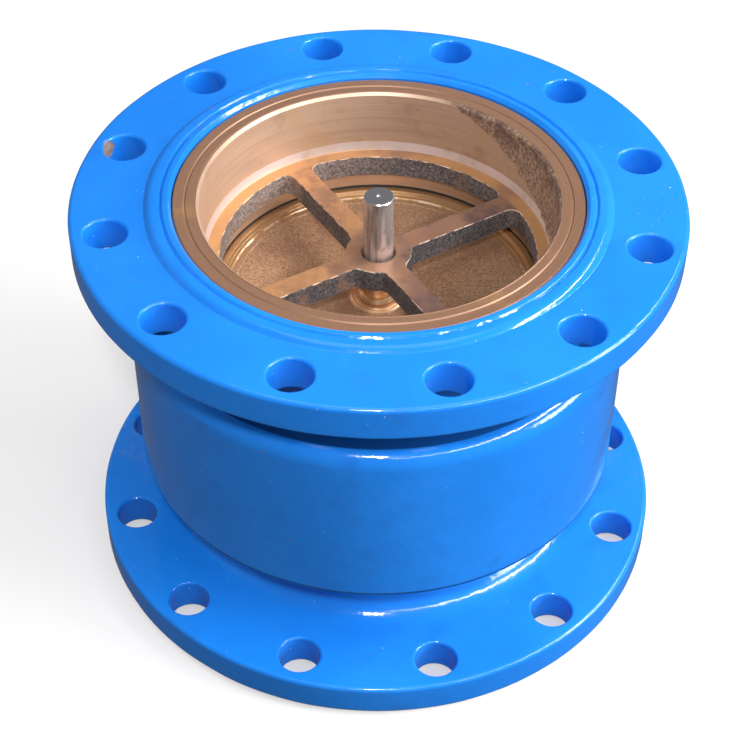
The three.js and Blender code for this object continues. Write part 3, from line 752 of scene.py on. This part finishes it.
# ---- Finishing a piece
def finish_piece(obj, node, body, slot, *materials, pick=None, sharp=32):
    """Smooths and names the piece, gives its faces their materials and hands it to its body.
    pick(centre in millimetres, normal) says which of the materials a face takes."""
    smooth(obj, sharp)
    obj.data.materials.clear()
    for material in materials:
        obj.data.materials.append(material)
    for face in obj.data.polygons:
        face.material_index = pick(face.center / MM, face.normal) if pick else 0
    obj.name = "fine_" + node
    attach(obj, body)
    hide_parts(node)


# ---- Body
def raised_face(face_z, inward):
    """The raised face from its rim to the pocket, with its sealing groove. inward is 1 for the
    outlet and -1 for the inlet, and the outline runs anticlockwise for both."""
    corners = [
        (151.9, face_z + RAISED * inward, 1.0), (148.6, face_z, 8), (GROOVE_R + 1.2, face_z, 0.6),
        (GROOVE_R + 0.2, face_z + 1.8 * inward, 0.4), (GROOVE_R - 1.6, face_z, 1.5),
        (136.4, face_z, 0.7), (POCKET_R, face_z + 2.2 * inward, 0.6),
    ]
    return corners if inward < 0 else corners[::-1]


def body_corners():
    edge = 3.0
    outside = [
        (FLANGE_R, RAISED, edge), (FLANGE_R, LOW_PLATE_BACK_Z, edge),
        (LOW_NECK_R, LOW_PLATE_BACK_Z, 20), (LOW_NECK_R, 73.5, 8),
        (BARREL_R, BARREL_LOW_Z, 4), (BARREL_R, BARREL_HIGH_Z, 18),
        (HIGH_NECK_R, BARREL_HIGH_Z + 3, 3), (HIGH_NECK_R, PLATE_BACK_Z, 4),
        (FLANGE_R, PLATE_BACK_Z, edge), (FLANGE_R, PLATE_TOP_Z, edge),
    ]
    inside = [
        (POCKET_R, SHELF_Z, 0.5), (126, SHELF_Z, 0.5), (126, 206, 3), (134, 198, 5),
        (CAVITY_R, 198, 16), (CAVITY_R, 95.4, 14), (132, 92.4, 4), (OUTLET_R, 78, 6),
        (OUTLET_R, GUIDE_POCKET_Z, 0.5), (POCKET_R, GUIDE_POCKET_Z, 0.5),
    ]
    return raised_face(0, 1) + outside + raised_face(FACE_Z, -1) + inside


def cast_shift(r, z, angle):
    """Thick paint over a casting: slow waves outside, and a sealing groove with ragged edges."""
    if r < POCKET_R + 0.5:
        return r, z
    point = (r * math.cos(angle), r * math.sin(angle), z)
    r += wander(point, 38, 0.35)
    on_face = z > FACE_Z - RAISED / 2 or z < RAISED / 2
    if on_face:
        in_groove = max(0.0, 1 - abs(r - GROOVE_R) / 2.4)
        ragged = wander(point, 5.5, 0.55) + wander(point, 16, 0.6)
        r += in_groove * ragged
        z += in_groove * wander(point, 7, 0.3) * (1 if z > RAISED else -1)
    return r, z


def valve_body():
    path = split_long(rounded(body_corners()), 6)
    body = lathe("valve_body_fine", path, 256, cast_shift)
    cutters = []
    for angle in BOLT_ANGLES:
        for low, high in ((RAISED, LOW_PLATE_BACK_Z), (PLATE_BACK_Z, PLATE_TOP_Z)):
            hole = drill(BOLT_HOLE_R, low, high, 1.9)
            cutters.append(move(hole, at_polar(BOLT_CIRCLE_R, angle)))
    for k in range(4):
        hole = SET_SCREW_R + GAP
        mouth = hole + 1.1
        path = [(0, 132), (hole, 132), (hole, 145), (mouth, 146.4), (mouth, 150), (0, 150)]
        cutters.append(radial(lathe("tapped", path, 32), 90 * k, SET_SCREW_Z))
    for angle in GUIDE_SCREW_ANGLES:
        tapped = plug(GUIDE_SCREW_R + GAP, 10, 34, 24)
        cutters.append(move(tapped, at_polar(GUIDE_SCREW_CIRCLE_R, angle)))
    boolean(body, cutters, "DIFFERENCE")
    finish_piece(body, "valve_body", "housing", "blue_epoxy", EPOXY)


# ---- Seat ring
def seat_corners():
    """From the foot up the outside, over the face, down the bore and round the spider."""
    shoulder_z = SHELF_Z + GAP
    foot = [
        (123.2, SEAT_FOOT_Z, 0.4), (124, SEAT_FOOT_Z + 0.8, 0.4),
        (124, shoulder_z, 0.3), (SEAT_R, shoulder_z, 0.5),
    ]
    low, high = O_RING_LOW_Z - GAP, O_RING_HIGH_Z + GAP
    groove = [(SEAT_R, low, 0.3), (130.3, low, 0.4), (130.3, high, 0.4), (SEAT_R, high, 0.3)]
    top = SEAT_FACE_Z
    face = [
        (SEAT_R, top - 0.8, 0.4), (132.9, top, 0.3),
        (126.4, top, 0.15), (125.6, top - 0.8, 0.15), (124.6, top, 0.15),
        (SCRIBED_R + 0.3, top, 0.06), (SCRIBED_R, top - 0.2, 0.05), (SCRIBED_R - 0.3, top, 0.06),
    ]
    bore = [
        (BORE_R, top, 0.2), (BORE_R - 1.8, top - 2.1, 0.5),
        (BORE_R - 3, SPIDER_Z + 6, 0.6), (SPIDER_R, SPIDER_Z, 0.7),
    ]
    hub = [
        (HUB_BORE_R + 0.9, SPIDER_Z, 0.3), (HUB_BORE_R, SPIDER_Z - 0.9, 0.2), (HUB_BORE_R, 223.2, 0.2),
        (HUB_BORE_R + 0.8, 222.4, 0.2), (HUB_R - 0.8, 222.4, 0.5), (HUB_R, SPIDER_LOW_Z, 0.3),
    ]
    underside = [
        (WINDOW_R, SPIDER_LOW_Z, 0.3), (WINDOW_R + 1.5, SPIDER_LOW_Z - 0.5, 0.4), (110, SEAT_FOOT_Z, 0.5),
    ]
    return foot + groove + face + bore + hub + underside


def arc_points(centre, start, end, spacing):
    """Points from start to end about a centre, the short way round."""
    a = Vector(start) - Vector(centre)
    b = Vector(end) - Vector(centre)
    turn = math.atan2(a.x * b.y - a.y * b.x, a.dot(b))
    steps = max(2, round(abs(turn) * a.length / spacing))
    return [tuple(Vector(centre) + Matrix.Rotation(turn * k / steps, 2) @ a) for k in range(steps + 1)]


def window_outline(inner_r, outer_r, half_arm, corner, root, spacing):
    """The opening between two arms at right angles, with round corners, counter-clockwise."""
    cx = math.sqrt((outer_r - corner) ** 2 - (half_arm + corner) ** 2)
    dx = math.sqrt((inner_r + root) ** 2 - (half_arm + root) ** 2)
    outer = Vector((cx, half_arm + corner))
    inner = Vector((dx, half_arm + root))
    rim = outer.normalized() * outer_r
    hub = inner.normalized() * inner_r
    half = arc_points(inner, hub, (dx, half_arm), spacing)
    half += arc_points(outer, (cx, half_arm), rim, spacing)
    mirrored = [(y, x) for x, y in reversed(half)]
    rim_arc = arc_points((0, 0), rim, (rim.y, rim.x), spacing)[1:-1]
    hub_arc = arc_points((0, 0), (hub.y, hub.x), hub, spacing)[1:-1]
    return split_long(half + rim_arc + mirrored + hub_arc, spacing * 1.4)


def window_cutter(angle):
    """Cuts one window: drafted rough walls and a small round at the top edge."""
    outline = window_outline(HUB_R, WINDOW_R, ARM_HALF, 6.5, 5.5, 1.3)
    walls = [(222 + 1.45 * i, -0.75 + 0.066 * i) for i in range(12)]
    top_edge = [(SPIDER_Z - 0.5, 0.08), (SPIDER_Z - 0.15, 0.25), (SPIDER_Z + 0.05, 0.6)]
    cutter = prism("window", outline, walls + top_edge + [(SPIDER_Z + 4, 0.6)])
    for vert in cutter.data.vertices:
        point = vert.co / MM
        away = Vector((point.x, point.y, 0)).normalized()
        if point.z < SPIDER_Z - 0.7:
            vert.co += away * (wander(point, 9, 0.6) + wander(point, 2.6, 0.35)) * MM
        elif point.z < SPIDER_Z + 0.1:
            vert.co += away * wander(point, 7, 0.5) * MM
    return move(cutter, spin(angle))


def seat_materials(centre, normal):
    """1 for the spider's flat top, 2 for the rough walls of its windows and 0 elsewhere."""
    r = math.hypot(centre.x, centre.y)
    at_top = abs(centre.z - SPIDER_Z) < 1.0 and normal.z > 0.6
    if at_top and HUB_BORE_R + 0.3 < r < SPIDER_R + 0.1:
        return 1
    in_wall = SHELF_Z < centre.z < SPIDER_Z and abs(normal.z) < 0.7
    if in_wall and HUB_BORE_R + 1 < r < WINDOW_R + 0.9:
        return 2
    return 0


def seat_ring():
    ring = lathe("seat_ring_fine", split_long(rounded(seat_corners()), 5), 288)
    cutters = [window_cutter(SPIDER_ANGLE + 90 * k) for k in range(4)]
    for k in range(4):
        cutters.append(radial(plug(SET_SCREW_R + GAP, SEAT_R - 3, 140, 24), 90 * k, SET_SCREW_Z))
    boolean(ring, cutters, "DIFFERENCE")
    finish_piece(ring, "seat_ring", "housing", "seat_bronze", TURNED, SPIDER, CAST, pick=seat_materials)


def seat_o_ring():
    """Squeezed between its groove and the pocket."""
    corners = ring_corners(130.6, 133.9, O_RING_LOW_Z, O_RING_HIGH_Z, 1.6)
    ring = lathe("o_ring", rounded(corners), 128)
    finish_piece(ring, "seat_o_ring", "housing", "black_rubber", RUBBER)


# ---- Threads, nuts and screws
def finish_fastener(obj, node, body):
    finish_piece(obj, node, body, "stainless", BRIGHT, sharp=25)


def hexagon(across_flats):
    corner = across_flats / 2 / math.cos(math.radians(30))
    angles = [math.radians(60 * k) for k in range(6)]
    return [(corner * math.cos(angle), corner * math.sin(angle)) for angle in angles]


def thread_shift(radius, pitch, depth, low, high):
    """For lathe: a screw thread between two heights, cut as a helical V into the full radius."""
    def shift(r, z, angle):
        if r < radius - 0.05 or not low < z < high:
            return r, z
        phase = (z / pitch - angle / TAU) % 1
        fade = min(1.0, (z - low) / pitch, (high - z) / pitch)
        return r - depth * fade * (1 - abs(2 * phase - 1)), z
    return shift


def nut(node):
    """A hexagon nut, crowned and chamfered at both faces."""
    across_flats = 30
    chamfer = 1
    bottom = node_bottom(node)
    top = node_top(node)
    corner = across_flats / 2 / math.cos(math.radians(30))
    crown = across_flats / 2 * 0.96
    drop = (corner - crown) * math.tan(math.radians(30))
    body = prism(node + "_solid", hexagon(across_flats), [(bottom, 0), (top, 0)])
    turned = [
        (0, bottom - 0.001), (crown, bottom), (corner + 0.1, bottom + drop),
        (corner + 0.1, top - drop), (crown, top), (0, top + 0.001),
    ]
    boolean(body, [lathe("crown", turned, 96)], "INTERSECT")
    mouth = STEM_HOLE_R + chamfer
    hole = [
        (0, bottom - 2), (mouth, bottom - 2), (mouth, bottom), (STEM_HOLE_R, bottom + chamfer),
        (STEM_HOLE_R, top - chamfer), (mouth, top), (mouth, top + 2), (0, top + 2),
    ]
    boolean(body, [lathe("bore", hole, 48)], "DIFFERENCE")
    finish_fastener(body, node, "disc_assembly")


def seat_set_screw(k):
    """Made along Z from its cup point, then laid along the radius."""
    start = SEAT_R - 2.7
    end = start + 14
    chamfer = 0.8
    thread_start = start + 1
    thread_end = end - 1
    row = 0.25
    rows = round((thread_end - thread_start) / row)
    point = [
        (0, start + chamfer, 0), (2.2, start, 0.2),
        (SET_SCREW_R - chamfer, start, 0.3), (SET_SCREW_R, start + chamfer, 0.2),
    ]
    thread = [(SET_SCREW_R, thread_start + row * i, 0) for i in range(1, rows)]
    crown = [(SET_SCREW_R, end - chamfer, 0.2), (SET_SCREW_R - chamfer, end, 0.3), (0, end, 0)]
    path = rounded(point + thread + crown, closed=False)
    shift = thread_shift(SET_SCREW_R, 1.5, 0.55, thread_start, thread_end)
    screw = lathe("set_screw", path, 40, shift)
    across_flats = 5.2
    levels = [(end - 5, -across_flats * 0.08), (end - 4.6, 0), (end + 1, 0)]
    boolean(screw, [prism("socket", hexagon(across_flats), levels)], "DIFFERENCE")
    radial(screw, 90 * k, SET_SCREW_Z)
    finish_fastener(screw, f"seat_set_screw_{k + 1}", "housing")


def guide_screw(k):
    """A cap screw, head down, with its thread in the body."""
    low = node_bottom("guide_screw_1")
    end = node_top("guide_screw_1")
    head_top = low + 6
    chamfer = 0.8
    corners = [
        (0, low, 0), (6.5, low, 0.9), (6.5, head_top, 0.3), (GUIDE_SCREW_R, head_top, 0.3),
        (GUIDE_SCREW_R, end - chamfer, 0.2), (GUIDE_SCREW_R - chamfer, end, 0.2), (0, end, 0),
    ]
    path = split_long(rounded(corners, closed=False), 0.4, closed=False)
    shift = thread_shift(GUIDE_SCREW_R, 1.25, 0.5, GUIDE_POCKET_Z + 0.1, end - chamfer)
    screw = lathe("guide_screw", path, 48, shift)
    levels = [(low - 1, 0.35), (low, 0.35), (low + 0.35, 0), (low + 3.4, 0), (low + 3.6, -0.5)]
    boolean(screw, [prism("socket", hexagon(6), levels)], "DIFFERENCE")
    move(screw, at_polar(GUIDE_SCREW_CIRCLE_R, GUIDE_SCREW_ANGLES[k]))
    finish_fastener(screw, f"guide_screw_{k + 1}", "housing")


def flat_ring(node, body, inner, outer, fillet, place=None):
    """A washer of bright steel, at the node's own height."""
    corners = ring_corners(inner, outer, node_bottom(node), node_top(node), fillet)
    ring = lathe(node + "_solid", rounded(corners), 96)
    if place:
        move(ring, place)
    finish_piece(ring, node, body, "stainless", BRIGHT)


# ---- Disc and stem
def disc():
    """From the hole along the underside, up the rim with its seal groove, and over the top."""
    hub = [(STEM_HOLE_R, DISC_BOTTOM_Z, 0.4), (25, DISC_BOTTOM_Z, 1.5)]
    underside = [(25, 188, 2.5), (48, 188, 3), (DISC_R - 4, 196, 4), (DISC_R, 200, 2.5)]
    rim = [(DISC_R, DISC_TOP_Z - 1.5, 0.6), (DISC_R - 1.5, DISC_TOP_Z, 0.6)]
    seal_groove = [(118, DISC_TOP_Z, 0.3), (118, 203, 0.4), (110.5, 203, 0.4), (110.5, DISC_TOP_Z, 0.4)]
    inner_rim = [
        (106, DISC_TOP_Z, 0.6), (104.6, 206.6, 0.8), (102.4, 206.3, 0.4), (101.4, 205.5, 0.8),
        (97.2, 205.25, 0.1), (96.8, 204.95, 0.1), (96.3, 205.2, 0.1),
    ]
    boss = [
        (BOSS_R, 201, 1.2), (17.8, 202.2, 0.5), (16.6, 202.2, 0.15), (16.3, 201.9, 0.1),
        (16, 202.2, 0.15), (15, 202, 0.3), (14.6, 200, 0.2), (STEM_HOLE_R, 200, 0.3),
    ]
    path = rounded(hub + underside + rim + seal_groove + inner_rim + boss)
    plate = lathe("disc_solid", split_long(path, 5), 240, disc_shift)
    finish_piece(plate, "disc", "disc_assembly", "disc_bronze", DISC)


def disc_shift(r, z, angle):
    """The cast middle of the disc isn't quite flat."""
    if BOSS_R + 1.4 < r < 95:
        point = (r * math.cos(angle), r * math.sin(angle), z)
        z += wander(point, 16, 0.35)
    return r, z


def disc_seal_ring():
    """Stands a little proud of the disc, with a crowned top."""
    low = node_bottom("disc_seal_ring")
    high = node_top("disc_seal_ring")
    inner = 110.8
    outer = 117.7
    corners = [
        (inner, low, 0.3), (outer, low, 0.3), (outer, high - 1.2, 0.6),
        (outer - 2.1, high, 1.4), (inner + 2.1, high, 1.4), (inner, high - 1.2, 0.6),
    ]
    ring = lathe("seal", rounded(corners), 128)
    finish_piece(ring, "disc_seal_ring", "disc_assembly", "black_rubber", RUBBER)


def stem():
    """Spigot, threaded part with an undercut below it, collar on the disc, and the bright bar."""
    low = node_bottom("stem")
    spigot = [
        (0, low, 0), (SPIGOT_R - 1.5, low, 0.4), (SPIGOT_R, low + 2, 0.4),
        (SPIGOT_R, 145, 0.5), (SPIGOT_R - 0.4, 146, 0.2),
    ]
    threaded = [(STEM_R - 1, 146, 0.3), (STEM_R, 147, 0.3)]
    collar = [(STEM_R, 200.3, 0), (12.5, 200.3, 0.4), (12.5, 203.3, 0.4), (STEM_R, 204.3, 0.5)]
    end = [
        (STEM_R, STEM_TOP_Z - 0.8, 0.25), (STEM_R - 0.75, STEM_TOP_Z, 0.25),
        (1.7, STEM_TOP_Z, 0.12), (0, STEM_TOP_Z - 1.9, 0),
    ]
    path = rounded(spigot + threaded + collar + end, closed=False)
    path = split_long(path, 4, closed=False)
    fine = []
    for (r, z), (next_r, next_z) in zip(path, path[1:]):
        on_thread = min(r, next_r) > STEM_R - 0.1 and next_z < 178
        rows = max(1, round((next_z - z) / 0.35)) if on_thread else 1
        fine += [(r + (next_r - r) * k / rows, z + (next_z - z) * k / rows) for k in range(rows)]
    fine.append(path[-1])
    rod = lathe("stem_solid", fine, 72, thread_shift(STEM_R, 2.5, 1.1, 147.5, 175))
    finish_piece(rod, "stem", "disc_assembly", "stem_stainless", STEM, sharp=40)


# ---- Spring
def spring():
    """A coil with one closed turn at each end, its ends ground flat."""
    low = node_bottom("spring")
    high = node_top("spring")
    mean = 31.0  # radius of the coil, to the middle of the wire
    wire = 2.5  # radius of the wire
    turns = 8.5
    closed_pitch = 5.6
    ground = 1  # cut off each end
    start = low + wire - ground
    free = (high - low) - 2 * (wire - ground) - 2 * closed_pitch
    sides = 18
    count = round(turns * 56)
    verts = []
    for i in range(count + 1):
        turn = turns * i / count
        middle = min(max((turn - 1) / (turns - 2), 0), 1)
        ends = min(turn, 1) + max(turn - turns + 1, 0)
        height = start + ends * closed_pitch + middle * free
        angle = TAU * turn
        for k in range(sides):
            side = TAU * k / sides
            radius = mean + wire * math.cos(side)
            z = min(max(height + wire * math.sin(side), low), high)
            verts.append((radius * math.cos(angle), radius * math.sin(angle), z))
    faces = quads(count + 1, sides)
    faces.append(tuple(range(sides)))
    faces.append(tuple(count * sides + k for k in range(sides)))
    coil = to_object("spring_solid", verts, faces)
    finish_piece(coil, "spring", "housing", "spring_steel", WIRE)
    height = (high - low) * MM
    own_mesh(coil)


# ---- Outlet guide
def guide_arm(angle):
    """An arm's side view, as (distance from the axis, height), made 12 mm thick."""
    corners = [(14, 8, 0), (119, 3, 0), (119, 13.6, 0), (40, 31.5, 12), (26, 34, 4), (14, 34, 0)]
    levels = [(-6, -1.4), (-5.6, -0.5), (-4.8, 0), (4.8, 0), (5.6, -0.5), (6, -1.4)]
    arm = prism("arm", split_long(rounded(corners), 6), levels)
    upright = Matrix.Rotation(math.radians(90), 4, "X")
    return move(arm, spin(angle) @ upright)


def outlet_guide():
    """A ring in the outlet, four arms, and a hub that carries the spring and the bushing."""
    low = node_bottom("outlet_guide")
    ring_top = GUIDE_POCKET_Z - GAP
    spring_z = node_bottom("spring") - GAP
    bushing_z = node_bottom("guide_bushing") - GAP
    ring = [(OUTLET_R, low, 0.9), (SEAT_R, low, 0.9), (SEAT_R, ring_top, 0.7), (OUTLET_R, ring_top, 1.6)]
    hub = [
        (10, 8, 0.6), (22, 8, 1.8), (22, 44, 5), (37, 54, 2.5), (37, spring_z, 0.7),
        (25.5, spring_z, 0.9), (25.5, GUIDE_TOP_Z - 2, 0.4), (23.5, GUIDE_TOP_Z, 0.5),
        (BUSHING_POCKET_R, GUIDE_TOP_Z, 0.4), (BUSHING_POCKET_R, bushing_z, 0.3), (10, bushing_z, 0.3),
    ]
    guide = lathe("guide_ring", split_long(rounded(ring), 6), 192)
    boolean(guide, [guide_arm(90 * k) for k in range(4)], "UNION")
    boolean(guide, [lathe("guide_hub", split_long(rounded(hub), 6), 96)], "UNION")
    cutters = [plug(BUSHING_POCKET_R, bushing_z, GUIDE_TOP_Z + 5, 96), plug(10, -2, bushing_z - 0.1, 96)]
    washer_z = node_top("guide_screw_washer_1") + GAP
    hole = GUIDE_SCREW_R + GAP
    head = [(0, -3), (7.6, -3), (7.6, low), (6.8, low + 0.8), (6.8, washer_z)]
    path = head + [(hole, washer_z), (hole, 20), (0, 20)]
    for angle in GUIDE_SCREW_ANGLES:
        cutters.append(move(lathe("screw_seat", path, 40), at_polar(GUIDE_SCREW_CIRCLE_R, angle)))
    boolean(guide, cutters, "DIFFERENCE")
    finish_piece(guide, "outlet_guide", "housing", "guide_bronze", GUIDE, sharp=38)


def guide_bushing():
    """A plain bearing with two grease grooves in its bore."""
    low = node_bottom("guide_bushing")
    high = node_top("guide_bushing")
    bore = SPIGOT_R + GAP
    corners = [(bore, low, 0.8), (BUSHING_R, low, 0.6), (BUSHING_R, high, 0.6), (bore, high, 0.8)]
    for z in (58, 38):
        corners += [(bore, z, 0.1), (9, z - 0.7, 0.1), (9, z - 2.3, 0.1), (bore, z - 3, 0.1)]
    bush = lathe("bush", rounded(corners), 96)
    finish_piece(bush, "guide_bushing", "housing", "bushing_bronze", BUSHING)


# ---- Assembly
valve_body()
seat_ring()
seat_o_ring()
outlet_guide()
guide_bushing()
for index in range(4):
    seat_set_screw(index)
    guide_screw(index)
    place = at_polar(GUIDE_SCREW_CIRCLE_R, GUIDE_SCREW_ANGLES[index])
    flat_ring(f"guide_screw_washer_{index + 1}", "housing", GUIDE_SCREW_R + GAP, 6.5, 0.25, place)
spring()
flat_ring("spring_cup_washer", "spring_carrier", 26, node_radius("spring_cup_washer"), 0.6)
disc()
disc_seal_ring()
stem()
flat_ring("stem_washer", "disc_assembly", STEM_HOLE_R, node_radius("stem_washer"), 0.4)
nut("stem_nut")
nut("stem_jam_nut")


# ---- Stage: floor, light and camera
def area_light(name, azimuth, elevation, distance, width, height, power):
    """Looks at the middle of the valve. Angles are in degrees, sizes in metres and power in watts."""
    aim = Vector((0, 0, 0.15))
    data = bpy.data.lights.new(name, "AREA")
    data.shape = "RECTANGLE"
    data.size = width
    data.size_y = height
    data.energy = power
    lamp = bpy.data.objects.new(name, data)
    bpy.context.scene.collection.objects.link(lamp)
    around = math.radians(azimuth)
    up = math.radians(elevation)
    toward = Vector((math.cos(around) * math.cos(up), math.sin(around) * math.cos(up), math.sin(up)))
    lamp.location = aim + toward * distance
    lamp.rotation_euler = (-toward).to_track_quat("-Z", "Y").to_euler()
    return lamp


def studio():
    """A pale floor just under the valve, which stays out of reflections and bounced light, five
    strip lights at the right that give the long highlights, four softer lights, and a dim sky."""
    just_under = (0, 0, -0.0004)
    bpy.ops.mesh.primitive_grid_add(x_subdivisions=8, y_subdivisions=8, size=14, location=just_under)
    floor = bpy.context.object
    floor.name = "studio_floor"
    floor.data.materials.append(studio_floor())
    floor.visible_glossy = False
    floor.visible_diffuse = False
    for azimuth, power in ((-66, 10), (-40, 22), (-14, 35), (12, 32), (38, 12)):
        area_light(f"key_{azimuth}", azimuth, 41, 3.0, 1.35, 0.16, power)
    area_light("side", -10, 16, 3.0, 1.2, 0.9, 60)
    area_light("front", -90, 49, 1.9, 0.12, 0.12, 17)
    area_light("behind", 158, 26, 3.2, 1.6, 1.2, 38).visible_glossy = False
    area_light("overhead", 0, 90, 2.2, 1.6, 1.6, 10)
    world = bpy.data.worlds.new("studio")
    bpy.context.scene.world = world
    world.use_nodes = True
    background = world.node_tree.nodes["Background"]
    background.inputs["Color"].default_value = (*WARM_WHITE, 1)
    background.inputs["Strength"].default_value = 0.12


def camera():
    """A normal view from the front and above, turned a little about its own axis."""
    data = bpy.data.cameras.new("camera")
    data.sensor_width = 36
    data.lens = 87.86
    data.clip_start = 0.01
    eye = Vector((0.0231, -0.9444, 1.0068))
    target = Vector((-0.0014, 0, 0.1267))
    roll = math.radians(0.61)
    view = (target - eye).normalized()
    holder = bpy.data.objects.new("camera", data)
    bpy.context.scene.collection.objects.link(holder)
    holder.location = eye
    holder.rotation_mode = "QUATERNION"
    holder.rotation_quaternion = Quaternion(view, -roll) @ view.to_track_quat("-Z", "Y")
    bpy.context.scene.camera = holder


studio()
camera()
bpy.context.scene.view_settings.view_transform = "Standard"
